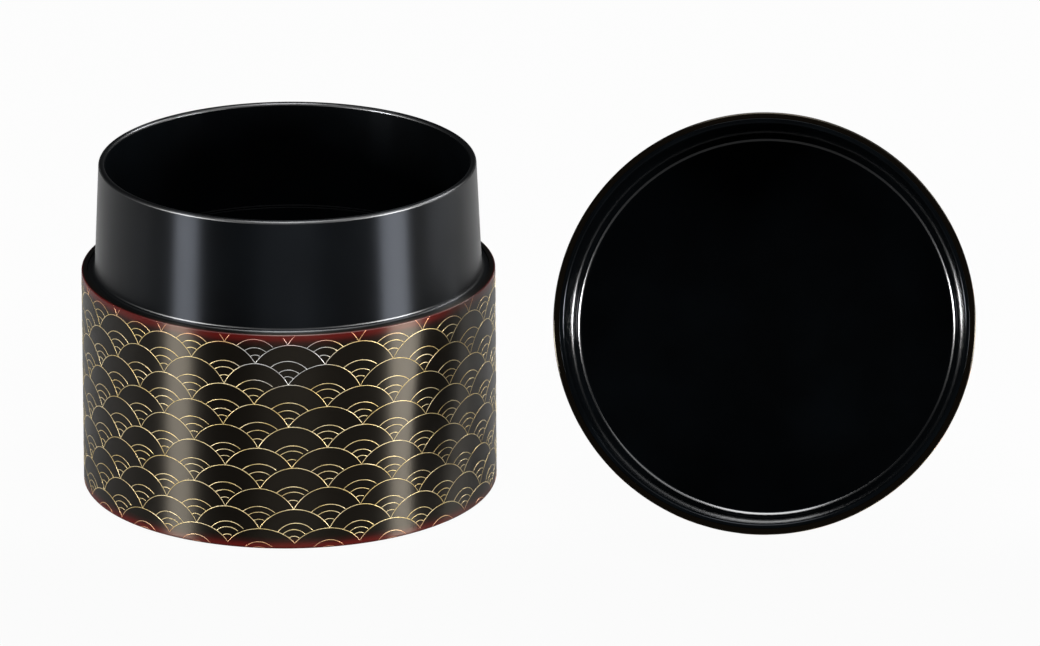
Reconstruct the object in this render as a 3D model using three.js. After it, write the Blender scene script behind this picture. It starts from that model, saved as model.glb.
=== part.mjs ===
// Lacquer tea caddy, in millimetres, +Z up.
//
// The caddy is a double-walled canister. A decorated sleeve stands round a black inner cup, whose
// tapered neck rises above the sleeve, and a base plate closes the sleeve from below.
// The lid is a decorated cap with a black liner. It is off the caddy and stands beside it, tipped back
// on the rear edge of its top with its mouth to the front.
// The origin is the middle of the underside of the whole group.

import * as THREE from 'three';

// Clearances that every piece shares
const seamGap = 0.3;            // between two pieces that are bonded or pressed together
const edgeRounding = 0.35;      // outer edges that the lacquer has softened
const roundSteps = 64;          // facets in one full turn
const arcStep = Math.PI / 8;    // largest turn between two points of a rounded corner

// Body of the caddy
const shoulderRadius = 55;      // outside of the sleeve at the shoulder, and of the lid at its mouth
const bodyHeight = 60;          // floor to shoulder
const bodyFlare = 0.3;          // the sleeve's foot is this much larger in radius
const sleeveWall = 2.4;
const sleeveStep = 0.8;         // width of the step inside the sleeve's top edge
const sleeveLift = 0.5;         // the sleeve's lower edge clears the floor by this much
const sleeveFootRounding = 0.8;

// Inner cup and neck
const neckHeight = 29.5;        // shoulder to rim
const neckTaper = 1.45;         // the neck's rim is this much smaller in radius than its foot
const neckWall = 1.7;           // at the rim
const neckCove = 1.05;          // hollow fillet where the neck meets the flange
const rimRounding = 0.8;
const flangeThickness = 2.2;
const flangeDrop = 0.4;         // the flange lies this much below the sleeve's top edge
const cupWall = 2;              // below the flange, inside the sleeve
const cupDraft = 0.8;           // the cup is this much narrower in radius at its floor
const cupFloor = 2;
const cupCorner = 5;            // fillet between wall and floor

// Base plate
const plateThickness = 2;
const recessDepth = 1.2;        // the underside is hollow by this much inside the foot ring
const footRingInset = 2.8;      // from the edge of the plate to the foot ring
const footRingWidth = 4;
const footRingRounding = 0.4;
const spigotHeight = 3.4;       // upstanding ring that is bonded inside the sleeve
const spigotWall = 1.5;
const seatWidth = 2.5;          // ring that carries the cup's floor
const seatHeight = 1.2;

// Lid
const lidClearanceAtFoot = 0.6; // from the neck to the inside of the lid when it is closed
const lidClearanceAtRim = 0.3;
const lidHeadroom = 0.7;        // over the rim of the neck when the lid is closed
const lidShellWall = 1.6;
const lidTopWall = 1.6;
const lidDraft = 0.4;           // the lid's top is this much smaller in radius
const lidTopRounding = 2.5;
const linerRim = 1.05;          // width of the liner at the lid's mouth
const linerBand = 3;            // height of the ring that is bonded inside the lid's mouth
const linerWall = 1;
const linerCeiling = 1.2;
const linerRimRounding = 0.7;   // clears the cove at the foot of the neck
const linerCorner = 2;          // fillet between wall and ceiling

// Where the lid stands, seen from above, measured from the caddy's axis to the middle of the lid's mouth
const lidAside = 125;
const lidForward = 52;
const lidTilt = THREE.MathUtils.degToRad(21.5);  // how far the mouth looks up
const lidTurn = THREE.MathUtils.degToRad(3);     // how far the mouth looks towards the caddy

// Sizes that follow from the ones above. The shoulder is as wide as the rim of the lid that sits on it.
const sleeveInside = shoulderRadius - sleeveWall;
const flangeSeat = sleeveInside + sleeveStep;
const flangeTop = bodyHeight - flangeDrop;
const flangeUnderside = flangeTop - flangeThickness;
const caddyHeight = bodyHeight + neckHeight;
const lidMouthRadius = shoulderRadius - lidShellWall - seamGap - linerRim;
const neckFootRadius = lidMouthRadius - lidClearanceAtFoot;
const neckRimRadius = neckFootRadius - neckTaper;
const lidCeilingRadius = neckRimRadius + lidClearanceAtRim;
const cupMouthRadius = neckRimRadius - neckWall;
const cupFloorRadius = cupMouthRadius - cupDraft;
const plateTop = recessDepth + plateThickness;
const cupUnderside = plateTop + seatHeight + seamGap;
const linerDepth = neckHeight + lidHeadroom;
const linerTop = linerDepth + linerCeiling;
const lidHeight = linerTop + seamGap + lidTopWall;
const lidShellInside = shoulderRadius - lidShellWall;

const corner = (radius, height, rounding = 0) => ({ at: new THREE.Vector2(radius, height), rounding });

// Points of one corner: an arc that is tangent to both edges. Two rounded corners share the edge between
// them, so neither arc takes more than half of it.
function cornerPoints(before, here, after) {
  if (here.rounding === 0) {
    return [here.at];
  }
  const back = before.at.clone().sub(here.at);
  const ahead = after.at.clone().sub(here.at);
  const halfAngle = Math.abs(back.angleTo(ahead)) / 2;
  const roomBack = before.rounding === 0 ? back.length() : back.length() / 2;
  const roomAhead = after.rounding === 0 ? ahead.length() : ahead.length() / 2;
  const reach = Math.min(here.rounding / Math.tan(halfAngle), roomBack, roomAhead);
  const radius = reach * Math.tan(halfAngle);
  back.normalize();
  ahead.normalize();
  const towardsCentre = back.clone().add(ahead).normalize();
  const centre = here.at.clone().addScaledVector(towardsCentre, radius / Math.sin(halfAngle));
  const start = here.at.clone().addScaledVector(back, reach).sub(centre);
  const turn = Math.PI - 2 * halfAngle;
  const direction = Math.sign(ahead.cross(back));
  const steps = Math.max(1, Math.ceil(turn / arcStep));
  return Array.from({ length: steps + 1 }, (unused, step) => {
    const angle = direction * turn * step / steps;
    return start.clone().rotateAround(new THREE.Vector2(), angle).add(centre);
  });
}

// A solid of revolution about Z. The outline runs up the outside and down the inside. It starts and ends
// on the axis, or it is a ring's outline and closes on itself.
function revolve(corners) {
  const last = corners.length - 1;
  const points = corners.flatMap((here, index) => {
    const before = corners[index === 0 ? last : index - 1];
    const after = corners[index === last ? 0 : index + 1];
    return cornerPoints(before, here, after);
  });
  const onAxis = corners[0].at.x === 0;
  if (!onAxis) {
    points.push(points[0].clone());
  }
  return new THREE.LatheGeometry(points, roundSteps).rotateX(Math.PI / 2);
}

function decoratedLacquer() {
  return new THREE.MeshStandardMaterial({ color: 0x17110c, roughness: 0.18, metalness: 0 });
}

function blackLacquer() {
  return new THREE.MeshStandardMaterial({ color: 0x08090b, roughness: 0.1, metalness: 0 });
}

function mouldedBase() {
  return new THREE.MeshStandardMaterial({ color: 0x111113, roughness: 0.4, metalness: 0 });
}

function piece(name, geometry, material) {
  const mesh = new THREE.Mesh(geometry, material);
  mesh.name = name;
  return mesh;
}

// Decorated sleeve: a tube with a step inside its top edge, on which the cup's flange sits.
function outerShell() {
  const step = flangeUnderside - seamGap;
  const outline = [
    corner(sleeveInside, sleeveLift),
    corner(shoulderRadius + bodyFlare, sleeveLift, sleeveFootRounding),
    corner(shoulderRadius, bodyHeight, edgeRounding),
    corner(flangeSeat, bodyHeight),
    corner(flangeSeat, step),
    corner(sleeveInside, step),
  ];
  return piece('outer_shell', revolve(outline), decoratedLacquer());
}

// Black cup: its flange closes the double wall and is the flat shoulder, and its neck carries the lid.
function innerCup() {
  const floorTop = cupUnderside + cupFloor;
  const flangeRadius = flangeSeat - seamGap;
  const outline = [
    corner(0, cupUnderside),
    corner(cupFloorRadius + cupWall, cupUnderside, cupCorner),
    corner(cupMouthRadius + cupWall, flangeUnderside),
    corner(flangeRadius, flangeUnderside),
    corner(flangeRadius, flangeTop),
    corner(neckFootRadius, flangeTop, neckCove),
    corner(neckRimRadius, caddyHeight, rimRounding),
    corner(cupMouthRadius, caddyHeight, rimRounding),
    corner(cupFloorRadius, floorTop, cupCorner),
    corner(0, floorTop),
  ];
  return piece('inner_cup', revolve(outline), blackLacquer());
}

// Base plate: a disc with a foot ring below, and above it a spigot for the sleeve and a seat for the cup.
function basePlate() {
  const plateRadius = sleeveInside - seamGap;
  const ringOutside = plateRadius - footRingInset;
  const ringInside = ringOutside - footRingWidth;
  const spigotInside = plateRadius - spigotWall;
  const spigotTop = plateTop + spigotHeight;
  const seatOutside = cupFloorRadius + cupWall - cupCorner;
  const seatInside = seatOutside - seatWidth;
  const seatTop = plateTop + seatHeight;
  const outline = [
    corner(0, recessDepth),
    corner(ringInside, recessDepth, footRingRounding),
    corner(ringInside, 0, footRingRounding),
    corner(ringOutside, 0, footRingRounding),
    corner(ringOutside, sleeveLift),
    corner(plateRadius, sleeveLift),
    corner(plateRadius, spigotTop),
    corner(spigotInside, spigotTop),
    corner(spigotInside, plateTop),
    corner(seatOutside, plateTop),
    corner(seatOutside, seatTop),
    corner(seatInside, seatTop),
    corner(seatInside, plateTop),
    corner(0, plateTop),
  ];
  return piece('base_plate', revolve(outline), mouldedBase());
}

// Decorated cap of the lid, mouth down at height zero.
function lidShell() {
  const ceiling = lidHeight - lidTopWall;
  const outline = [
    corner(0, ceiling),
    corner(lidShellInside - lidDraft, ceiling, lidTopRounding - lidTopWall),
    corner(lidShellInside, 0),
    corner(shoulderRadius, 0, edgeRounding),
    corner(shoulderRadius - lidDraft, lidHeight, lidTopRounding),
    corner(0, lidHeight),
  ];
  return piece('lid_shell', revolve(outline), decoratedLacquer());
}

// Black liner of the lid: it tapers as the neck does, and its lower band is bonded inside the cap.
function lidLiner() {
  const bandRadius = lidShellInside - seamGap;
  const taperPerHeight = (lidMouthRadius - lidCeilingRadius) / linerDepth;
  const insideAtBandTop = lidMouthRadius - taperPerHeight * linerBand;
  const outline = [
    corner(0, linerDepth),
    corner(lidCeilingRadius, linerDepth, linerCorner),
    corner(lidMouthRadius, 0, linerRimRounding),
    corner(bandRadius, 0),
    corner(bandRadius, linerBand),
    corner(insideAtBandTop + linerWall, linerBand),
    corner(lidCeilingRadius + linerWall, linerTop, linerCorner),
    corner(0, linerTop),
  ];
  return piece('lid_liner', revolve(outline), blackLacquer());
}

const caddy = new THREE.Group();
caddy.add(outerShell(), innerCup(), basePlate());

// The lid's mouth is turned to the front, looks up by the tilt and turns a little towards the caddy.
const tippedLid = new THREE.Group();
tippedLid.add(lidShell(), lidLiner());
tippedLid.rotation.x = -(Math.PI / 2 + lidTilt);
const lid = new THREE.Group();
lid.add(tippedLid);
lid.rotation.z = -lidTurn;
lid.position.set(lidAside, -lidForward, 0);
lid.position.z = -new THREE.Box3().setFromObject(lid, true).min.z;

const group = new THREE.Group();
group.add(caddy, lid);
const middle = new THREE.Box3().setFromObject(group, true).getCenter(new THREE.Vector3());
group.position.set(-middle.x, -middle.y, 0);

export default group;
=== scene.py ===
import math
import random

import bmesh
import bpy
from mathutils import Euler, Matrix, Vector


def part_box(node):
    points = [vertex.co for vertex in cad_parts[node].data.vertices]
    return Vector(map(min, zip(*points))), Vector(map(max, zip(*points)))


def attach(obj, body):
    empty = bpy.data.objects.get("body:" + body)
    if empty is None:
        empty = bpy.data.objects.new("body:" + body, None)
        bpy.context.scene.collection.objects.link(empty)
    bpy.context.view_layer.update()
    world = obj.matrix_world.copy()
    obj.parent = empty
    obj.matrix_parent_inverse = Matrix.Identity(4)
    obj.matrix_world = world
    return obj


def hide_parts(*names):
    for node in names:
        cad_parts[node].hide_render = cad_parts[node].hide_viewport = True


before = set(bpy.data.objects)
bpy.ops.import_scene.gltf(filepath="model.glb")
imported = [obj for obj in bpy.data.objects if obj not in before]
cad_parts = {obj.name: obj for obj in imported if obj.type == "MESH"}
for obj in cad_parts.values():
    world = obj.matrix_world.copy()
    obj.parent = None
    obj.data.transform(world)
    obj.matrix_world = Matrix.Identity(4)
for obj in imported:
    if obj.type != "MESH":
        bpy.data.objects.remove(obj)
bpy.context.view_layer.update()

# Sleeve of the body: a thick moulded tube in black lacquer, bonded over the foot of the black cup.
# Its two edges are sprayed with red lacquer that fades into the black, and the whole is polished
# round and round.
MM = 0.001
SLEEVE_FLARE = 0.3 * MM        # the foot is this much larger in radius than the shoulder
SLEEVE_WALL = 2.4 * MM
STEP_WIDTH = 0.8 * MM          # of the step inside the top edge, which takes the cup's flange
FLANGE_DROP = 0.4 * MM         # the flange lies this much below the top edge
FLANGE_THICKNESS = 2.2 * MM
FOOT_ROUNDING = 0.8 * MM
EDGE_ROUNDING = 0.4 * MM
SEAM = 0.06 * MM               # hairline between two bonded pieces
RELIEF = 0.045 * MM            # how far the painted lines stand out, to end level with the CAD wall
TURN_STEPS = 256               # facets in a full turn
ROUNDING_STEPS = 8             # facets in a rounded corner
SAME_SPOT = SEAM / 100         # points that are closer than this are merged

sleeve_low, sleeve_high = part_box("outer_shell")
caddy_x = (sleeve_low.x + sleeve_high.x) / 2
caddy_y = (sleeve_low.y + sleeve_high.y) / 2
caddy_origin = (caddy_x, caddy_y, 0)
caddy_place = Matrix.Translation(caddy_origin)
upright = (0, 0, 0)
sleeve_foot = sleeve_low.z
shoulder_height = sleeve_high.z
foot_radius = (sleeve_high.x - sleeve_low.x) / 2
shoulder_radius = foot_radius - SLEEVE_FLARE
sleeve_inside = shoulder_radius - SLEEVE_WALL
seat_radius = sleeve_inside + STEP_WIDTH
flange_top = shoulder_height - FLANGE_DROP
flange_underside = flange_top - FLANGE_THICKNESS


def corner(radius, height, rounding=0.0):
    """One corner of an outline, with the radius that it is rounded to."""
    return Vector((radius, 0.0, height)), rounding


def finished(name, bm, smooth_below=35):
    """The piece made of a bmesh, shaded smooth over edges that turn by less than some degrees."""
    mesh = bpy.data.meshes.new(name)
    bm.to_mesh(mesh)
    bm.free()
    mesh.shade_smooth()
    mesh.set_sharp_from_angle(angle=math.radians(smooth_below))
    piece = bpy.data.objects.new(name, mesh)
    bpy.context.scene.collection.objects.link(piece)
    even = piece.modifiers.new("even_shading", "WEIGHTED_NORMAL")
    even.keep_sharp = True
    return piece


def turned(name, outline, place, ring=True):
    """A piece turned from its outline, whose rounded corners are bevelled before it is spun."""
    bm = bmesh.new()
    verts = [bm.verts.new(spot) for spot, rounding in outline]
    bm.faces.new(verts)
    for vert, (spot, rounding) in zip(verts, outline):
        if rounding:
            back, ahead = [edge.other_vert(vert).co - vert.co for edge in vert.link_edges]
            reach = rounding / math.tan(back.angle(ahead) / 2)
            bmesh.ops.bevel(bm, geom=[vert], offset=reach, offset_type="OFFSET",
                            segments=ROUNDING_STEPS, profile=0.5, affect="VERTICES", material=-1)
    bmesh.ops.delete(bm, geom=bm.faces[:], context="FACES_ONLY")
    if not ring:
        on_axis = [edge for edge in bm.edges if max(vert.co.x for vert in edge.verts) < SAME_SPOT]
        bmesh.ops.delete(bm, geom=on_axis, context="EDGES")
    bmesh.ops.spin(bm, geom=bm.verts[:] + bm.edges[:], cent=(0, 0, 0), axis=(0, 0, 1),
                   dvec=(0, 0, 0), angle=math.tau, steps=TURN_STEPS, use_merge=True)
    bmesh.ops.remove_doubles(bm, verts=bm.verts[:], dist=SAME_SPOT)
    bmesh.ops.recalc_face_normals(bm, faces=bm.faces[:])
    bmesh.ops.transform(bm, matrix=place, verts=bm.verts[:])
    return finished(name, bm)


def linear(hex_colour):
    """The linear colour of an sRGB hex value."""
    parts = [int(hex_colour[at:at + 2], 16) / 255 for at in (1, 3, 5)]
    return [c / 12.92 if c <= 0.04045 else ((c + 0.055) / 1.055) ** 2.4 for c in parts] + [1.0]


def add_node(tree, kind, inputs=None, stops=(), **settings):
    """Adds a node. An input is a value or a linked output, and a ramp's stop a position and a hex colour."""
    node = tree.nodes.new(kind)
    for name, value in settings.items():
        setattr(node, name, value)
    for name, value in (inputs or {}).items():
        if isinstance(value, bpy.types.NodeSocket):
            tree.links.new(value, node.inputs[name])
        else:
            node.inputs[name].default_value = value
    for index, (position, hex_colour) in enumerate(stops):
        elements = node.color_ramp.elements
        element = elements[index] if index < 2 else elements.new(position)
        element.position = position
        element.color = linear(hex_colour)
    return node


def start_material(name, origin, turn):
    """An empty material, and its place in the piece's own frame, with the axis up."""
    material = bpy.data.materials.new(name)
    material.use_nodes = True
    tree = material.node_tree
    tree.nodes.clear()
    where = add_node(tree, "ShaderNodeTexCoord").outputs["Object"]
    own = add_node(tree, "ShaderNodeMapping", {"Vector": where, "Location": origin, "Rotation": turn},
                   vector_type="TEXTURE").outputs["Vector"]
    return material, tree, own


RED_FULL = 1.4 * MM            # the red is full as far as this from the edge,
RED_GONE = 3.8 * MM            # and has faded into the black as far as this from it
SPRAY_DRIFT = 0.8 * MM         # by which the edge of the spray wanders,
SPRAY_PATCH = 11 * MM          # over stretches of about this length
SKIN_DEPTH = 0.6 * MM          # the red ends this deep inside the outside wall,
SKIN_FULL = 0.15 * MM          # and is full down to this


def red_share(tree, own, edges, outside):
    """How red the lacquer is: full on the edges, at these heights, and faded out over the band."""
    axes = add_node(tree, "ShaderNodeSeparateXYZ", {"Vector": own}).outputs
    drift = add_node(tree, "ShaderNodeTexNoise", {"Vector": own, "Scale": 1 / SPRAY_PATCH, "Detail": 2.0})
    drift = add_node(tree, "ShaderNodeMath", {0: drift.outputs["Fac"], 1: SPRAY_DRIFT},
                     operation="MULTIPLY").outputs[0]
    red = None
    for edge in edges:
        away = add_node(tree, "ShaderNodeMath", {0: axes["Z"], 1: edge}, operation="SUBTRACT").outputs[0]
        away = add_node(tree, "ShaderNodeMath", {0: away}, operation="ABSOLUTE").outputs[0]
        away = add_node(tree, "ShaderNodeMath", {0: away, 1: drift}, operation="ADD").outputs[0]
        fade = add_node(tree, "ShaderNodeMapRange",
                        {"Value": away, "From Min": RED_FULL, "From Max": RED_GONE,
                         "To Min": 1.0, "To Max": 0.0}).outputs["Result"]
        if red is not None:
            fade = add_node(tree, "ShaderNodeMath", {0: red, 1: fade}, operation="MAXIMUM").outputs[0]
        red = fade
    level = add_node(tree, "ShaderNodeCombineXYZ", {"X": axes["X"], "Y": axes["Y"]}).outputs[0]
    reach = add_node(tree, "ShaderNodeVectorMath", {0: level}, operation="LENGTH").outputs["Value"]
    outer = add_node(tree, "ShaderNodeMapRange",
                     {"Value": reach, "From Min": outside - SKIN_DEPTH,
                      "From Max": outside - SKIN_FULL}).outputs["Result"]
    return add_node(tree, "ShaderNodeMath", {0: red, 1: outer}, operation="MULTIPLY").outputs[0]


OUTWARD_FROM = 26 * MM         # normal times reach, which tells the polished outside from the inside
OUTWARD_FULL = 44 * MM
WALL_ROUGHNESS = (0.34, 0.37)  # across the polish, where it clouds from one value to the other,
POLISH_CLOUD = 13 * MM         # over patches of about this size
INSIDE_ROUGHNESS = 0.08
SWELL = 8 * MM                 # length of the faint waves that lacquer dries with,
SWELL_DEPTH = 0.02 * MM        # and their depth
SWELL_STRENGTH = 0.2
LACQUER_IOR = 1.5
COAT_IOR = 2.2                 # above lacquer's own 1.5, matched to the pale glare down the sides
COAT_SQUARE_ON = 0.012         # share of the clear coat that shows where the wall is seen square on
EDGE_ON_POWER = 3.0            # how late the coat comes up as the wall turns away
SQUARE_ON_POWER = 1.5          # how soon the painted highlight bands fade as they turn away


def polished(tree, own, origin, turn, colour, painted_highlight_bands=(), edge_gloss=0.5, coat_roughness=0.4,
             stretch=1.0, shine=0.48, tint="#fff2dc"):
    """Lacquer that is polished round and round outside, which stretches its reflections along the axis.

    A painted highlight band is the height of a rounded edge and half its width. Its clear coat is made
    stronger there, so the edge's reflection of the lamps shows as a brighter line: partly the edge's own
    reflection and partly a painted highlight, which fades as the edge turns away from the camera.
    """
    where = add_node(tree, "ShaderNodeTexCoord").outputs
    axis = Euler(turn).to_matrix() @ Vector((0, 0, 1))
    reach = add_node(tree, "ShaderNodeVectorMath", {0: where["Object"], 1: origin},
                     operation="SUBTRACT").outputs[0]
    around = add_node(tree, "ShaderNodeVectorMath", {0: axis, 1: reach},
                      operation="CROSS_PRODUCT").outputs[0]
    across = add_node(tree, "ShaderNodeVectorMath", {0: around, 1: where["Normal"]},
                      operation="CROSS_PRODUCT").outputs[0]
    outward = add_node(tree, "ShaderNodeVectorMath", {0: where["Normal"], 1: reach},
                       operation="DOT_PRODUCT").outputs["Value"]
    outward = add_node(tree, "ShaderNodeMapRange", {"Value": outward, "From Min": OUTWARD_FROM,
                                                    "From Max": OUTWARD_FULL}).outputs["Result"]
    cloud = add_node(tree, "ShaderNodeTexNoise", {"Vector": own, "Scale": 1 / POLISH_CLOUD, "Detail": 2.0})
    gloss = add_node(tree, "ShaderNodeMapRange",
                     {"Value": cloud.outputs["Fac"], "From Min": 0.3, "From Max": 0.7,
                      "To Min": WALL_ROUGHNESS[0], "To Max": WALL_ROUGHNESS[1]}).outputs["Result"]
    rough = add_node(tree, "ShaderNodeMix", {"Factor": outward, "A": INSIDE_ROUGHNESS,
                                             "B": gloss}).outputs["Result"]
    facing = add_node(tree, "ShaderNodeLayerWeight", {"Blend": 0.5}).outputs["Facing"]
    edge_on = add_node(tree, "ShaderNodeMath", {0: facing, 1: EDGE_ON_POWER}, operation="POWER").outputs[0]
    coat = add_node(tree, "ShaderNodeMath", {0: edge_on, 1: outward}, operation="MULTIPLY").outputs[0]
    square_on = add_node(tree, "ShaderNodeMath", {0: 1.0, 1: facing}, operation="SUBTRACT").outputs[0]
    square_on = add_node(tree, "ShaderNodeMath", {0: square_on, 1: SQUARE_ON_POWER},
                         operation="POWER").outputs[0]
    height = add_node(tree, "ShaderNodeSeparateXYZ", {"Vector": own}).outputs["Z"]
    # Painted highlights: the coat is made stronger in bands at the given heights, fading as the surface
    # turns away.
    for middle, half in painted_highlight_bands:
        near = add_node(tree, "ShaderNodeMath", {0: height, 1: middle, 2: half},
                        operation="COMPARE").outputs[0]
        near = add_node(tree, "ShaderNodeMath", {0: near, 1: square_on}, operation="MULTIPLY").outputs[0]
        coat = add_node(tree, "ShaderNodeMath", {0: near, 1: coat}, operation="MAXIMUM").outputs[0]
    coat = add_node(tree, "ShaderNodeMapRange", {"Value": coat, "To Min": COAT_SQUARE_ON,
                                                 "To Max": edge_gloss}).outputs["Result"]
    swell = add_node(tree, "ShaderNodeTexNoise", {"Vector": own, "Scale": 1 / SWELL, "Detail": 1.0})
    bump = add_node(tree, "ShaderNodeBump", {"Height": swell.outputs["Fac"], "Strength": SWELL_STRENGTH,
                                             "Distance": SWELL_DEPTH}).outputs["Normal"]
    return add_node(tree, "ShaderNodeBsdfPrincipled", {
        "Base Color": colour, "Roughness": rough, "IOR": LACQUER_IOR, "Specular IOR Level": shine,
        "Specular Tint": linear(tint), "Anisotropic": stretch, "Tangent": across, "Coat Weight": coat,
        "Coat Roughness": coat_roughness, "Coat IOR": COAT_IOR, "Normal": bump}).outputs["BSDF"]


def paint(piece, material, tree, surface):
    """Ends a material with its surface and puts it on a piece."""
    add_node(tree, "ShaderNodeOutputMaterial", {"Surface": surface})
    piece.data.materials.append(material)


sleeve = turned("sleeve", [
    corner(sleeve_inside, sleeve_foot),
    corner(foot_radius - RELIEF, sleeve_foot, FOOT_ROUNDING),
    corner(shoulder_radius - RELIEF, shoulder_height, EDGE_ROUNDING),
    corner(seat_radius, shoulder_height),
    corner(seat_radius, flange_underside - SEAM),
    corner(sleeve_inside, flange_underside - SEAM),
], caddy_place)
# Sprayed and polished lacquer: a warm black with upright soft streaks for each light, pale glare down
# the sides, and deep red edges that darken into it without a line.
BLACK_TO_RED = [(0.0, "#060402"), (0.5, "#240504"), (1.0, "#4e0a08")]
material, tree, own = start_material("red_edged_black_lacquer", caddy_origin, upright)
red = red_share(tree, own, [sleeve_foot, shoulder_height], shoulder_radius)
colour = add_node(tree, "ShaderNodeValToRGB", {"Fac": red}, stops=BLACK_TO_RED).outputs["Color"]
# Painted highlight: a band of stronger clear coat along the rounded shoulder edge, which draws a bright line
# there.
shoulder_painted_highlight = (shoulder_height, 0.25 * MM)
paint(sleeve, material, tree, polished(tree, own, caddy_origin, upright, colour, [shoulder_painted_highlight]))
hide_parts("outer_shell")
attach(sleeve, "caddy")

# Wave pattern of the body: ten rows of overlapping fans, eighteen to a row, one large arc over three
# small ones, brushed by hand in lacquer and dusted with pale gold while it is wet. One fan at the
# front is dusted with silver. The lines stand a little proud, and the rows drift to the sides.
FANS_ROUND = 18
BODY_ROWS = 10
ROW_PITCH = 5.7 * MM
LAST_PITCH_SHARE = 0.76        # of the pitch, for the rows that the lower edge cuts off
LINE_WIDTH = 0.2 * MM
LINE_WEIGHTS = (0.88, 1.1)     # thinnest and widest line, as shares of that width
LINE_END = 0.7                 # a line narrows to this share where the brush is lifted
ARC_HALF = math.radians(60.8)  # from the top of a large arc to where it meets its neighbour
ARC_STEPS = 11                 # on each side of a large arc
SMALL_ARC_SHARES = (0.58, 0.40, 0.225)    # of the way from the foot of a fan to its top
SMALL_ARC_STEPS = 9
SMALL_ARC_STEP = math.radians(8)
SMALL_ARC_SLACK = 0.06         # share by which the hand misses their size
SMALL_ARC_SLIP = 0.15 * MM      # and how far it misses their place
SHORT_ENDS = (0.0, 0.0, 0.3 * MM, 0.6 * MM)    # by which a small arc may end short on its right
FAN_SLIP_ACROSS = 0.3 * MM     # by which the hand misses the even place of a fan
FAN_SLIP_UP = 0.2 * MM
FIRST_ROW_SHIFT = 0.75 * MM    # the top row starts this far to the right,
ROW_SHIFT = 0.15 * MM          # and each row below it this much further
FLANK = math.radians(75)       # the drift grows as far as this from the front
LEFT_CROWDING = 0.092          # share by which fans on the left stand closer to the front
LOW_CROWDING = 0.08            # the same for the lowest row on the right,
LOW_CROWDING_POWER = 4         # and how soon it is gone in the rows above
SAG = 1.7 * MM                 # of the rows on the right that sag most,
SAG_ROWS_UP = 0.7              # which lie this many rows above the middle
SAG_FULL = math.radians(35)    # the sag is full as far as this from the front
CUT_PRECISION = 8              # halvings that find where a line goes under its neighbour
HAND_SEED = 11                 # one painter's hand, for the body first and then the lid

arc_rise = 1 - math.cos(ARC_HALF)


def body_drift(row, share):
    """How far the brush has drifted at some share of the way round, which is made good at the back."""
    angle = math.tau * (share if share < 0.5 else share - 1)
    from_front = min(abs(angle), FLANK * (math.pi - abs(angle)) / (math.pi - FLANK))
    if angle < 0:
        crowding, sag = LEFT_CROWDING, 0.0
    else:
        crowding = LOW_CROWDING * min(row / (BODY_ROWS - 1), 1) ** LOW_CROWDING_POWER
        sag = SAG * max(math.sin(math.pi * (row + SAG_ROWS_UP) / (BODY_ROWS - 1)), 0)
    inwards = -math.copysign(from_front, angle) * crowding * shoulder_radius
    return Vector((inwards, -sag * min(from_front / SAG_FULL, 1), 0))


def fan_tops(radius, top_row_height, rows, hand, drift):
    """Tops of the fans on the unrolled wall by row and half pitch, each a little off its even place.

    Three rows and three half pitches more are placed on each side, for the neighbours of the last fans.
    """
    half_pitch = math.pi * radius / FANS_ROUND
    slips = {}
    tops = {}
    for row in range(rows + 3):
        for place in range(-3 + row % 2, 2 * FANS_ROUND + 3, 2):
            turn = place % (2 * FANS_ROUND)
            if (row, turn) not in slips:
                slips[row, turn] = Vector((hand.gauss(0, FAN_SLIP_ACROSS), hand.gauss(0, FAN_SLIP_UP), 0))
            down = (min(row, rows) - 1 + LAST_PITCH_SHARE * max(row - rows, 0)) * ROW_PITCH
            across = place * half_pitch + FIRST_ROW_SHIFT + row * ROW_SHIFT
            even = Vector((across, top_row_height - down, 0))
            tops[row, place] = even + slips[row, turn] + drift(row, turn / (2 * FANS_ROUND))
    return tops


def ridge(tops, row, place, across):
    """Height of a fan's large arc at one point across it, or None where the fan doesn't reach."""
    left, right = tops[row + 1, place - 1], tops[row + 1, place + 1]
    share = (across - left.x) / (right.x - left.x)
    if not 0 <= share <= 1:
        return None
    lean = math.asin((2 * share - 1) * math.sin(ARC_HALF))
    base = left.y + (right.y - left.y) * share
    return base + (tops[row, place].y - base) * (math.cos(lean) - math.cos(ARC_HALF)) / arc_rise


def stretches(line, shows):
    """The parts of a line that show, each drawn on to the very place where it stops showing."""
    parts, part = [], []
    for before, here in zip([line[0]] + line, line):
        if shows(here) != shows(before):
            seen, hidden = (here, before) if shows(here) else (before, here)
            for halving in range(CUT_PRECISION):
                middle = (seen + hidden) / 2
                seen, hidden = (middle, hidden) if shows(middle) else (seen, middle)
            part.append(seen)
        if shows(here):
            part.append(here)
        elif part:
            parts.append(part)
            part = []
    return parts + [part] if part else parts


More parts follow.
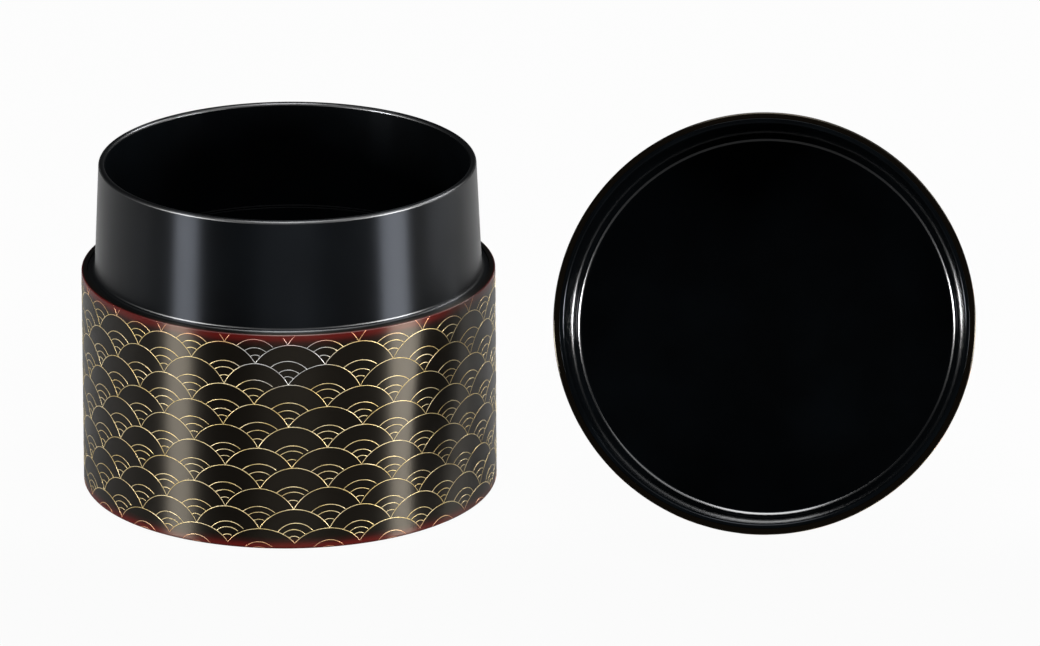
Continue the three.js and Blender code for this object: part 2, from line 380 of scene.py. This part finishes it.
def fan_strokes(tops, row, place, low, high, hand):
    """Strokes of one fan, between the lower and upper edge of the wall, with their weights."""
    foot, top = tops[row + 2, place], tops[row, place]
    left, right = tops[row + 1, place - 1], tops[row + 1, place + 1]
    middle, half = (left.x + right.x) / 2, (right.x - left.x) / 2
    large = []
    for step in range(-ARC_STEPS, ARC_STEPS + 1):
        across = middle + half * math.sin(ARC_HALF * step / ARC_STEPS) / math.sin(ARC_HALF)
        across = min(max(across, left.x), right.x)
        large.append(Vector((across, ridge(tops, row, place, across), 0)))
    lines = [(large, lambda spot: low < spot.y < high)]
    leans = [SMALL_ARC_STEP * step for step in range(-SMALL_ARC_STEPS, SMALL_ARC_STEPS + 1)]
    for share in SMALL_ARC_SHARES:
        reach = (top.y - foot.y) * share * (1 + hand.uniform(-SMALL_ARC_SLACK, SMALL_ARC_SLACK))
        short = hand.choice(SHORT_ENDS)    # the last draw holds for all three small arcs
        slip = Vector((hand.gauss(0, SMALL_ARC_SLIP), 0, 0))

        def uncovered(spot):
            covers = [ridge(tops, row + 1, side, spot.x) for side in (place - 1, place + 1)]
            gap = short if spot.x > foot.x else 0.0
            clear = all(cover is None or spot.y > cover + gap for cover in covers)
            return clear and low < spot.y < high

        arc = [foot + slip + reach * Vector((math.sin(lean), math.cos(lean), 0)) for lean in leans]
        lines.append((arc, uncovered))
    weight = hand.uniform(*LINE_WEIGHTS)
    return [(part, weight) for line, shows in lines for part in stretches(line, shows)]


def brushed(name, strokes, rolled_radius, wall_radius, place):
    """Painted lines: strokes with a low round section, drawn flat and rolled round the wall."""
    section = bpy.data.curves.new("stroke_section", "CURVE")
    section.dimensions = "2D"
    outline = section.splines.new("POLY")
    # In shares of the line's width and relief. The foot of a line is sunk into the wall.
    bulge = [(-0.5, -0.6), (0.5, -0.6), (0.4, 0.6), (0.0, 1.0), (-0.4, 0.6)]
    outline.points.add(len(bulge) - 1)
    for point, (across, up) in zip(outline.points, bulge):
        point.co = (across * LINE_WIDTH, up * RELIEF, 0, 1)
    outline.use_cyclic_u = True
    section_object = bpy.data.objects.new("stroke_section", section)
    curve = bpy.data.curves.new(name, "CURVE")
    curve.dimensions = "2D"
    curve.fill_mode = "NONE"
    curve.bevel_mode = "OBJECT"
    curve.bevel_object = section_object
    curve.use_fill_caps = True
    for points, weight in strokes:
        spline = curve.splines.new("POLY")
        spline.points.add(len(points) - 1)
        for index, (target, point) in enumerate(zip(spline.points, points)):
            at_end = index in (0, len(points) - 1)
            target.co = (point.x, point.y, 0, 1)
            target.radius = weight * (LINE_END if at_end else 1.0)
    flat = bpy.data.objects.new(name, curve)
    bpy.context.scene.collection.objects.link(flat)
    bpy.context.view_layer.update()
    evaluated = flat.evaluated_get(bpy.context.evaluated_depsgraph_get())
    bm = bmesh.new()
    bm.from_mesh(bpy.data.meshes.new_from_object(evaluated))
    bpy.data.objects.remove(flat)
    bpy.data.objects.remove(section_object)
    for vert in bm.verts:
        across, height, proud = vert.co
        angle = across / rolled_radius
        reach = wall_radius(height) + proud
        vert.co = (reach * math.sin(angle), -reach * math.cos(angle), height)
    bmesh.ops.remove_doubles(bm, verts=bm.verts[:], dist=SAME_SPOT)
    bmesh.ops.recalc_face_normals(bm, faces=bm.faces[:])
    bmesh.ops.transform(bm, matrix=place, verts=bm.verts[:])
    return finished(name, bm, smooth_below=60)


def rounded_off(radius, from_edge, rounding):
    """Radius of a wall near an edge that is rounded, at some height from that edge."""
    short = max(rounding - from_edge, 0)
    return radius - rounding + math.sqrt(rounding ** 2 - short ** 2)


def sleeve_radius(height):
    """Radius of the sleeve's outside at some height."""
    up = height - sleeve_foot
    down = shoulder_height - height
    wall = foot_radius + (shoulder_radius - foot_radius) * up / (up + down) - RELIEF
    if up < down:
        return rounded_off(wall, up, FOOT_ROUNDING)
    return rounded_off(wall, down, EDGE_ROUNDING)


# Gold powder in lacquer: bright where it faces a light, soft at the edges of each glint, pale against
# the black and warm where the red covers it. Its grains of about 0.03 mm are drawn at 0.25 mm to show.
GOLD_GRAIN = 0.25 * MM
GOLD_GRAIN_DEPTH = 0.02 * MM
GOLD_GRAIN_STRENGTH = 0.3
GOLD_ROUGHNESS = (0.3, 0.5)
GOLD_METALLIC = 0.6            # the rest is the lacquer between the grains
GOLD_COAT_ROUGHNESS = 0.4
GOLD_PATCH = 6 * MM            # over which the powder lies thinner or thicker
GOLD = [(0.35, "#dac080"), (0.65, "#f2deae")]
GOLD_UNDER_RED = "#d9866a"
UNDER_RED_SHARE = 0.75
SILVER = "#c3c2bf"
SILVER_FAN = (13.5 * MM, 25 * MM, 9.2 * MM)    # half its width, depth and height


def gold_lines(name, origin, turn, edges, outside, silver_at=None):
    """The material of painted lines: gold, and silver on the one fan at silver_at."""
    material, tree, own = start_material(name, origin, turn)
    grain = add_node(tree, "ShaderNodeTexNoise", {"Vector": own, "Scale": 1 / GOLD_GRAIN,
                                                  "Detail": 2.0}).outputs["Fac"]
    patches = add_node(tree, "ShaderNodeTexNoise", {"Vector": own, "Scale": 1 / GOLD_PATCH,
                                                    "Detail": 1.0}).outputs["Fac"]
    gold = add_node(tree, "ShaderNodeValToRGB", {"Fac": patches}, stops=GOLD).outputs["Color"]
    if silver_at:
        spot = add_node(tree, "ShaderNodeMapping",
                        {"Vector": own, "Location": silver_at, "Scale": SILVER_FAN},
                        vector_type="TEXTURE").outputs["Vector"]
        away = add_node(tree, "ShaderNodeVectorMath", {0: spot}, operation="LENGTH").outputs["Value"]
        silver = add_node(tree, "ShaderNodeMapRange",
                          {"Value": away, "From Min": 0.8, "From Max": 1.1,
                           "To Min": 1.0, "To Max": 0.0}).outputs["Result"]
        gold = add_node(tree, "ShaderNodeMix", {"Factor": silver, "A": gold, "B": linear(SILVER)},
                        data_type="RGBA").outputs["Result"]
    red = red_share(tree, own, edges, outside)
    warm = add_node(tree, "ShaderNodeMath", {0: red, 1: UNDER_RED_SHARE}, operation="MULTIPLY").outputs[0]
    gold = add_node(tree, "ShaderNodeMix", {"Factor": warm, "A": gold, "B": linear(GOLD_UNDER_RED)},
                    data_type="RGBA").outputs["Result"]
    rough = add_node(tree, "ShaderNodeMapRange", {"Value": grain, "To Min": GOLD_ROUGHNESS[0],
                                                  "To Max": GOLD_ROUGHNESS[1]}).outputs["Result"]
    bump = add_node(tree, "ShaderNodeBump", {"Height": grain, "Strength": GOLD_GRAIN_STRENGTH,
                                             "Distance": GOLD_GRAIN_DEPTH}).outputs["Normal"]
    facing = add_node(tree, "ShaderNodeLayerWeight", {"Blend": 0.5}).outputs["Facing"]
    edge_on = add_node(tree, "ShaderNodeMath", {0: facing, 1: EDGE_ON_POWER}, operation="POWER").outputs[0]
    surface = add_node(tree, "ShaderNodeBsdfPrincipled", {
        "Base Color": gold, "Metallic": GOLD_METALLIC, "Roughness": rough, "Coat Weight": edge_on,
        "Coat Roughness": GOLD_COAT_ROUGHNESS, "Coat IOR": COAT_IOR, "Normal": bump}).outputs["BSDF"]
    return material, tree, surface


hand = random.Random(HAND_SEED)
top_row = shoulder_height - 2.5 * MM
lowest_paint = sleeve_foot + 0.25 * MM
highest_paint = shoulder_height - 0.15 * MM
tops = fan_tops(shoulder_radius, top_row, BODY_ROWS, hand, body_drift)
strokes = []
for row in range(BODY_ROWS + 1):
    for place in range(1 - row % 2, 2 * FANS_ROUND, 2):
        strokes += fan_strokes(tops, row, place, lowest_paint, highest_paint, hand)
body_lines = brushed("body_wave_lines", strokes, shoulder_radius, sleeve_radius, caddy_place)
silver_at = (0, -shoulder_radius, shoulder_height - 6 * MM)
paint(body_lines, *gold_lines("dusted_gold_and_silver", caddy_origin, upright,
                              [sleeve_foot, shoulder_height], shoulder_radius, silver_at))
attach(body_lines, "caddy")

# Cup: one thin black moulding, lacquered inside and out. Its neck tapers to take the lid, its flange
# is the narrow ledge just below the sleeve's edge, and a small cove where they meet catches the light
# as a line, made brighter by painted highlight bands of stronger clear coat.
NECK_INSET = 3.55 * MM         # from the shoulder to the foot of the neck
NECK_TAPER = 1.45 * MM         # the rim is this much smaller in radius than the foot of the neck
NECK_WALL = 1.7 * MM
NECK_COVE = 1.05 * MM
RIM_ROUNDING = 0.8 * MM
FLANGE_ROUNDING = 0.08 * MM
CUP_WALL = 2 * MM              # inside the sleeve
CUP_FLOOR = 2 * MM
CUP_CORNER = 5 * MM
CUP_DRAFT = 0.8 * MM           # the floor is this much smaller in radius than the mouth

cup_low, cup_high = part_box("inner_cup")
rim_height = cup_high.z
cup_underside = cup_low.z
cup_floor = cup_underside + CUP_FLOOR
flange_radius = seat_radius - SEAM
neck_foot = shoulder_radius - NECK_INSET
neck_rim = neck_foot - NECK_TAPER
mouth_radius = neck_rim - NECK_WALL
floor_radius = mouth_radius - CUP_DRAFT
cup = turned("black_cup", [
    corner(0, cup_underside),
    corner(floor_radius + CUP_WALL, cup_underside, CUP_CORNER),
    corner(mouth_radius + CUP_WALL, flange_underside),
    corner(flange_radius, flange_underside),
    corner(flange_radius, flange_top, FLANGE_ROUNDING),
    corner(neck_foot, flange_top, NECK_COVE),
    corner(neck_rim, rim_height, RIM_ROUNDING),
    corner(mouth_radius, rim_height, RIM_ROUNDING),
    corner(floor_radius, cup_floor, CUP_CORNER),
    corner(0, cup_floor),
], caddy_place, ring=False)

# Sprayed and polished black lacquer: a cool, deep black with soft upright streaks outside, sharp dark
# reflections inside, and a bright line wherever an edge is rounded, which is partly the edge's own
# reflection and partly a painted highlight band of stronger clear coat.
BLACKS = [(0.35, "#040506"), (0.65, "#06080a")]
LACQUER_CLOUD = 20 * MM        # over which the black is a little deeper or paler
COOL_SHINE = "#dde5f4"


def black_lacquer(name, origin, turn, painted_highlight_bands, **finish):
    """The black lacquer of the cup and the liner, each with its own polish."""
    material, tree, own = start_material(name, origin, turn)
    cloud = add_node(tree, "ShaderNodeTexNoise", {"Vector": own, "Scale": 1 / LACQUER_CLOUD,
                                                  "Detail": 2.0}).outputs["Fac"]
    colour = add_node(tree, "ShaderNodeValToRGB", {"Fac": cloud}, stops=BLACKS).outputs["Color"]
    surface = polished(tree, own, origin, turn, colour, painted_highlight_bands, tint=COOL_SHINE, **finish)
    return material, tree, surface


# Painted highlights: bands of stronger clear coat at the rim and at two heights in the cove, which draw the
# bright lines there.
rim_painted_highlight = (rim_height - 0.42 * MM, 0.34 * MM)
upper_cove_painted_highlight = (flange_top + 0.85 * MM, 0.17 * MM)
lower_cove_painted_highlight = (flange_top + 0.2 * MM, 0.14 * MM)
paint(cup, *black_lacquer("black_lacquer", caddy_origin, upright,
                          [rim_painted_highlight, upper_cove_painted_highlight, lower_cove_painted_highlight], edge_gloss=1.0, shine=0.28))
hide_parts("inner_cup")
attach(cup, "caddy")

# Base plate: a satin black moulding, pressed into the foot of the sleeve. The caddy stands on its
# foot ring, its spigot is bonded inside the sleeve, and its seat carries the floor of the cup.
RING_INSET = 3.1 * MM          # from the inside of the sleeve to the foot ring
RING_WIDTH = 4 * MM
RING_ROUNDING = 0.4 * MM
PLATE_ROUNDING = 0.1 * MM
RECESS = 1.2 * MM              # the underside is hollow by this much inside the foot ring
PLATE_TOP = 3.2 * MM
SPIGOT_WALL = 1.5 * MM
SEAT_WIDTH = 2.5 * MM

plate_radius = sleeve_inside - SEAM
ring_outside = sleeve_inside - RING_INSET
ring_inside = ring_outside - RING_WIDTH
spigot_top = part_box("base_plate")[1].z
spigot_inside = plate_radius - SPIGOT_WALL
seat_outside = floor_radius + CUP_WALL - CUP_CORNER
seat_inside = seat_outside - SEAT_WIDTH
seat_top = cup_underside - SEAM
base_plate = turned("foot_plate", [
    corner(0, RECESS),
    corner(ring_inside, RECESS, RING_ROUNDING),
    corner(ring_inside, 0, RING_ROUNDING),
    corner(ring_outside, 0, RING_ROUNDING),
    corner(ring_outside, sleeve_foot, PLATE_ROUNDING),
    corner(plate_radius, sleeve_foot, PLATE_ROUNDING),
    corner(plate_radius, spigot_top),
    corner(spigot_inside, spigot_top),
    corner(spigot_inside, PLATE_TOP),
    corner(seat_outside, PLATE_TOP),
    corner(seat_outside, seat_top),
    corner(seat_inside, seat_top),
    corner(seat_inside, PLATE_TOP),
    corner(0, PLATE_TOP),
], caddy_place, ring=False)
# Plastic from a spark-eroded mould: an even satin black that breaks up its reflections. The mould's
# grain of about 0.3 mm is drawn at 0.5 mm to show.
MOULD_GRAIN = 0.5 * MM
MOULD_GRAIN_DEPTH = 0.03 * MM
MOULD_GRAIN_STRENGTH = 0.4
MOULD_ROUGHNESS = (0.36, 0.5)
MOULD_IOR = 1.5
MOULD_SHINE = 0.4
material, tree, own = start_material("satin_black_moulding", caddy_origin, upright)
grain = add_node(tree, "ShaderNodeTexNoise", {"Vector": own, "Scale": 1 / MOULD_GRAIN,
                                              "Detail": 3.0}).outputs["Fac"]
colour = add_node(tree, "ShaderNodeValToRGB", {"Fac": grain},
                  stops=[(0.3, "#0e0e10"), (0.7, "#16161a")]).outputs["Color"]
rough = add_node(tree, "ShaderNodeMapRange", {"Value": grain, "To Min": MOULD_ROUGHNESS[0],
                                              "To Max": MOULD_ROUGHNESS[1]}).outputs["Result"]
bump = add_node(tree, "ShaderNodeBump", {"Height": grain, "Strength": MOULD_GRAIN_STRENGTH,
                                         "Distance": MOULD_GRAIN_DEPTH}).outputs["Normal"]
paint(base_plate, material, tree, add_node(tree, "ShaderNodeBsdfPrincipled", {
    "Base Color": colour, "Roughness": rough, "IOR": MOULD_IOR, "Specular IOR Level": MOULD_SHINE,
    "Normal": bump}).outputs["BSDF"])
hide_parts("base_plate")
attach(base_plate, "caddy")

# Cap of the lid: the same moulding and lacquer as the sleeve, closed on top. It is off the caddy and
# stands tipped back on the rear edge of its top, its mouth to the front and turned a little inwards.
LID_TILT = math.radians(21.5)  # how far the mouth looks up
LID_TURN = math.radians(3)     # how far the mouth looks towards the caddy
CAP_HEIGHT = 33.3 * MM
CAP_WALL = 1.6 * MM
CAP_DRAFT = 0.4 * MM           # the top is this much smaller in radius than the mouth
CAP_TOP_ROUNDING = 2.5 * MM
LIP_BLACK = 0.7 * MM           # the lip stays black up to here,
LIP_RED = 1.1 * MM             # and the red is full from here

lid_turn = Euler((-math.pi / 2 - LID_TILT, 0, -LID_TURN))
cap_ceiling = CAP_HEIGHT - CAP_WALL
cap_inside = shoulder_radius - CAP_WALL
cap_top_radius = shoulder_radius - CAP_DRAFT
cap = turned("lid_cap", [
    corner(0, cap_ceiling),
    corner(cap_top_radius - CAP_WALL, cap_ceiling, CAP_TOP_ROUNDING - CAP_WALL),
    corner(cap_inside, 0),
    corner(shoulder_radius - RELIEF, 0, EDGE_ROUNDING),
    corner(cap_top_radius - RELIEF, CAP_HEIGHT, CAP_TOP_ROUNDING),
    corner(0, CAP_HEIGHT),
], lid_turn.to_matrix().to_4x4(), ring=False)
# The middle of the turned cap goes to the middle of the CAD cap.
spots = [vert.co for vert in cap.data.vertices]
turned_low = Vector([min(spot[axis] for spot in spots) for axis in range(3)])
turned_high = Vector([max(spot[axis] for spot in spots) for axis in range(3)])
cap_low, cap_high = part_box("lid_shell")
lid_origin = (cap_low + cap_high - turned_low - turned_high) / 2
lid_place = Matrix.Translation(lid_origin) @ lid_turn.to_matrix().to_4x4()
cap.data.transform(Matrix.Translation(lid_origin))
# The sleeve's sprayed and polished lacquer again, with the same streaks, but its lip is left black.
material, tree, own = start_material("red_edged_black_lacquer_of_the_lid", lid_origin, lid_turn)
red = red_share(tree, own, [0, CAP_HEIGHT], cap_top_radius)
height = add_node(tree, "ShaderNodeSeparateXYZ", {"Vector": own}).outputs["Z"]
lip = add_node(tree, "ShaderNodeMapRange", {"Value": height, "From Min": LIP_BLACK,
                                            "From Max": LIP_RED}).outputs["Result"]
red = add_node(tree, "ShaderNodeMath", {0: red, 1: lip}, operation="MULTIPLY").outputs[0]
colour = add_node(tree, "ShaderNodeValToRGB", {"Fac": red}, stops=BLACK_TO_RED).outputs["Color"]
paint(cap, material, tree, polished(tree, own, lid_origin, lid_turn, colour))
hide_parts("lid_shell")
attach(cap, "lid")

# Wave pattern of the lid: it carries the body's pattern on, brushed and dusted in the same gold, from
# the red band at the mouth up to the rounded edge of the top, which stays plain.
LID_ROWS = 5


def no_drift(row, share):
    """The lid's rows run true, for the photograph shows nothing of them."""
    return Vector((0, 0, 0))


def cap_radius(height):
    """Radius of the cap's outside at some height from its mouth."""
    wall = shoulder_radius + (cap_top_radius - shoulder_radius) * height / CAP_HEIGHT - RELIEF
    down = CAP_HEIGHT - height
    if height < down:
        return rounded_off(wall, height, EDGE_ROUNDING)
    return rounded_off(wall, down, CAP_TOP_ROUNDING)


plain_from = CAP_HEIGHT - CAP_TOP_ROUNDING
lid_top_row = plain_from - 1.2 * MM
lowest_paint = 0.9 * MM
highest_paint = plain_from + 0.9 * MM
tops = fan_tops(shoulder_radius, lid_top_row, LID_ROWS, hand, no_drift)
strokes = []
for row in range(LID_ROWS + 1):
    for place in range(1 - row % 2, 2 * FANS_ROUND, 2):
        strokes += fan_strokes(tops, row, place, lowest_paint, highest_paint, hand)
lid_lines = brushed("lid_wave_lines", strokes, shoulder_radius, cap_radius, lid_place)
paint(lid_lines, *gold_lines("dusted_gold_of_the_lid", lid_origin, lid_turn, [0, CAP_HEIGHT],
                             cap_top_radius))
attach(lid_lines, "lid")

# Liner of the lid: a thin black moulding, bonded inside the mouth of the cap. Its wall tapers as the
# neck does, and its rounded rim and the fillet round its ceiling catch the light as fine rings; the ring
# at the ceiling is made brighter by a painted highlight band of stronger clear coat.
LID_HEADROOM = 0.7 * MM        # over the rim of the neck, when the lid is on
RIM_CLEARANCE = 0.3 * MM       # between neck and liner at the rim,
FOOT_CLEARANCE = 0.6 * MM      # and at the foot
LINER_WALL = 1 * MM
LINER_CEILING = 1.2 * MM
LINER_CORNER = 2 * MM
LINER_RIM_ROUNDING = 0.7 * MM
BAND_ROUNDING = 0.1 * MM
BAND_HEIGHT = 3 * MM           # of the thick rim that is bonded to the cap
BAND_STEP = 0.83 * MM          # from the mouth's radius out to the wall above the band

liner_depth = rim_height - shoulder_height + LID_HEADROOM
liner_top = liner_depth + LINER_CEILING
liner_mouth = neck_foot + FOOT_CLEARANCE
ceiling_radius = neck_rim + RIM_CLEARANCE
band_radius = cap_inside - SEAM
liner = turned("lid_liner_lacquered", [
    corner(0, liner_depth),
    corner(ceiling_radius, liner_depth, LINER_CORNER),
    corner(liner_mouth, 0, LINER_RIM_ROUNDING),
    corner(band_radius, 0, BAND_ROUNDING),
    corner(band_radius, BAND_HEIGHT),
    corner(liner_mouth + BAND_STEP, BAND_HEIGHT),
    corner(ceiling_radius + LINER_WALL, liner_top, LINER_CORNER),
    corner(0, liner_top),
], lid_place, ring=False)
# The cup's black lacquer again, but not polished round and round: its rings stay fine and its face
# black.
# Painted highlight: a band of stronger clear coat at the ceiling's fillet, which draws its bright ring.
ceiling_painted_highlight = (liner_depth - 0.25 * MM, 0.14 * MM)
paint(liner, *black_lacquer("black_lacquer_of_the_lid", lid_origin, lid_turn, [ceiling_painted_highlight],
                            edge_gloss=0.9, coat_roughness=0.2, stretch=0.0, shine=0.12))
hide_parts("lid_liner")
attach(liner, "lid")

# Floor: a wide sheet of studio paper, white to the camera. In the lacquer's reflections it is painted grey
# in front of the caddy, a painted shade, and pale from beside it backwards; this painted shade keeps the
# front of the lacquer dark and its sides pale.
FLOOR_RADIUS = 6.0
FLOOR_DROP = 0.05 * MM
PAPER_FIBRE = 2 * MM           # about the length of the fibres
PAPER_ROUGHNESS = 0.9
PAPER_SHINE = 0.1
PAINTED_SHADE_PAPER = [(0.3, "#545454"), (0.7, "#5a5a5a")]
PALE_PAPER = [(0.3, "#b6b6b6"), (0.7, "#bababa")]
PAINTED_SHADE_IN_FRONT = 75 * MM        # as far as this in front of the caddy's axis the paper is grey,
PALE_IN_FRONT = 15 * MM        # and from here backwards it is pale
WHITE_SHARE = 0.96             # the rest shows the shadow

bm = bmesh.new()
bmesh.ops.create_circle(bm, cap_ends=True, radius=FLOOR_RADIUS, segments=96)
bmesh.ops.translate(bm, verts=bm.verts[:], vec=(0, 0, -FLOOR_DROP))
floor = finished("studio_floor", bm)
# Matt paper without shine, so that nothing on it draws the eye: even white to the camera, with painted shade
# in front of the caddy for all other rays.
material, tree, own = start_material("white_studio_paper", (0, 0, 0), upright)
fibres = add_node(tree, "ShaderNodeTexNoise", {"Vector": own, "Scale": 1 / PAPER_FIBRE,
                                               "Detail": 3.0}).outputs["Fac"]
painted_shade = add_node(tree, "ShaderNodeValToRGB", {"Fac": fibres}, stops=PAINTED_SHADE_PAPER).outputs["Color"]
pale = add_node(tree, "ShaderNodeValToRGB", {"Fac": fibres}, stops=PALE_PAPER).outputs["Color"]
# Painted shade: to every ray but the camera's, the paper is grey in front of the caddy and pale from beside
# it backwards.
depth = add_node(tree, "ShaderNodeSeparateXYZ", {"Vector": own}).outputs["Y"]
further = add_node(tree, "ShaderNodeMapRange",
                   {"Value": depth, "From Min": caddy_y - PAINTED_SHADE_IN_FRONT,
                    "From Max": caddy_y - PALE_IN_FRONT},
                   interpolation_type="SMOOTHSTEP").outputs["Result"]
paper = add_node(tree, "ShaderNodeMix", {"Factor": further, "A": painted_shade, "B": pale},
                 data_type="RGBA").outputs["Result"]
paper = add_node(tree, "ShaderNodeBsdfPrincipled", {
    "Base Color": paper, "Roughness": PAPER_ROUGHNESS, "Specular IOR Level": PAPER_SHINE}).outputs["BSDF"]
white = add_node(tree, "ShaderNodeEmission", {"Color": linear("#ffffff"), "Strength": 1.0}).outputs[0]
seen = add_node(tree, "ShaderNodeLightPath").outputs["Is Camera Ray"]
seen = add_node(tree, "ShaderNodeMath", {0: seen, 1: WHITE_SHARE}, operation="MULTIPLY").outputs[0]
paint(floor, material, tree, add_node(tree, "ShaderNodeMixShader", {0: seen, 1: paper, 2: white}).outputs[0])

# Studio light: a wide soft box overhead, a low one on each side, whose reflections run down the
# lacquer as two soft streaks, one behind at the right that reaches past the lid to the caddy's far
# side, and a weak fill from the front.


def soft_box(name, width, height, watts, azimuth, elevation, distance):
    """A soft box that looks at the caddy. Azimuth 0 is towards the camera, and 90 to the right."""
    lamp = bpy.data.lights.new(name, "AREA")
    lamp.shape = "RECTANGLE"
    lamp.size = width
    lamp.size_y = height
    lamp.energy = watts
    side = math.radians(azimuth)
    up = math.radians(elevation)
    away = Vector((math.sin(side) * math.cos(up), -math.cos(side) * math.cos(up), math.sin(up)))
    light = bpy.data.objects.new(name, lamp)
    light.location = Vector((caddy_x, caddy_y, shoulder_height)) + away * distance
    light.rotation_euler = (-away).to_track_quat("-Z", "Y").to_euler()
    bpy.context.scene.collection.objects.link(light)


soft_box("overhead_soft_box", width=1.0, height=1.6, watts=31, azimuth=0, elevation=68, distance=2.4)
soft_box("left_soft_box", width=0.52, height=0.34, watts=37, azimuth=-60, elevation=7, distance=2.0)
soft_box("right_soft_box", width=0.62, height=0.34, watts=51, azimuth=66, elevation=7, distance=2.0)
soft_box("right_rear_box", width=0.9, height=0.5, watts=24, azimuth=112, elevation=30, distance=2.2)
soft_box("front_fill_box", width=1.4, height=1.4, watts=8, azimuth=34, elevation=55, distance=2.4)
world = bpy.data.worlds.new("dim_studio")
world.use_nodes = True
background = world.node_tree.nodes["Background"]
background.inputs["Color"].default_value = linear("#e8ebf0")
background.inputs["Strength"].default_value = 0.02
bpy.context.scene.world = world

# Camera: a long lens a little above the caddy, which keeps the upright edges nearly parallel. Its
# distance, height and aim follow from the ellipses of the rim, the shoulder and the foot.
CAMERA_DISTANCE = 2.3
CAMERA_ELEVATION = math.radians(19.73)
CAMERA_NEAREST = 0.1
CAMERA_FURTHEST = 20
SENSOR_WIDTH = 36
LENS_PIXELS = 8637             # focal length in pixels of the photograph
PHOTO_WIDTH = 1040             # pixels
AIM_ASIDE = 61.51 * MM         # from the caddy's axis towards the lid
AIM_HEIGHT = 43.72 * MM

camera_data = bpy.data.cameras.new("photo_camera")
camera_data.sensor_width = SENSOR_WIDTH
camera_data.lens = SENSOR_WIDTH * LENS_PIXELS / PHOTO_WIDTH
camera_data.clip_start = CAMERA_NEAREST
camera_data.clip_end = CAMERA_FURTHEST
camera = bpy.data.objects.new("photo_camera", camera_data)
aim = Vector((caddy_x + AIM_ASIDE, caddy_y, AIM_HEIGHT))
back = Vector((0, -math.cos(CAMERA_ELEVATION), math.sin(CAMERA_ELEVATION)))
camera.location = aim + CAMERA_DISTANCE * back
camera.rotation_euler = (-back).to_track_quat("-Z", "Y").to_euler()
bpy.context.scene.collection.objects.link(camera)
bpy.context.scene.camera = camera
bpy.context.scene.view_settings.view_transform = "Standard"
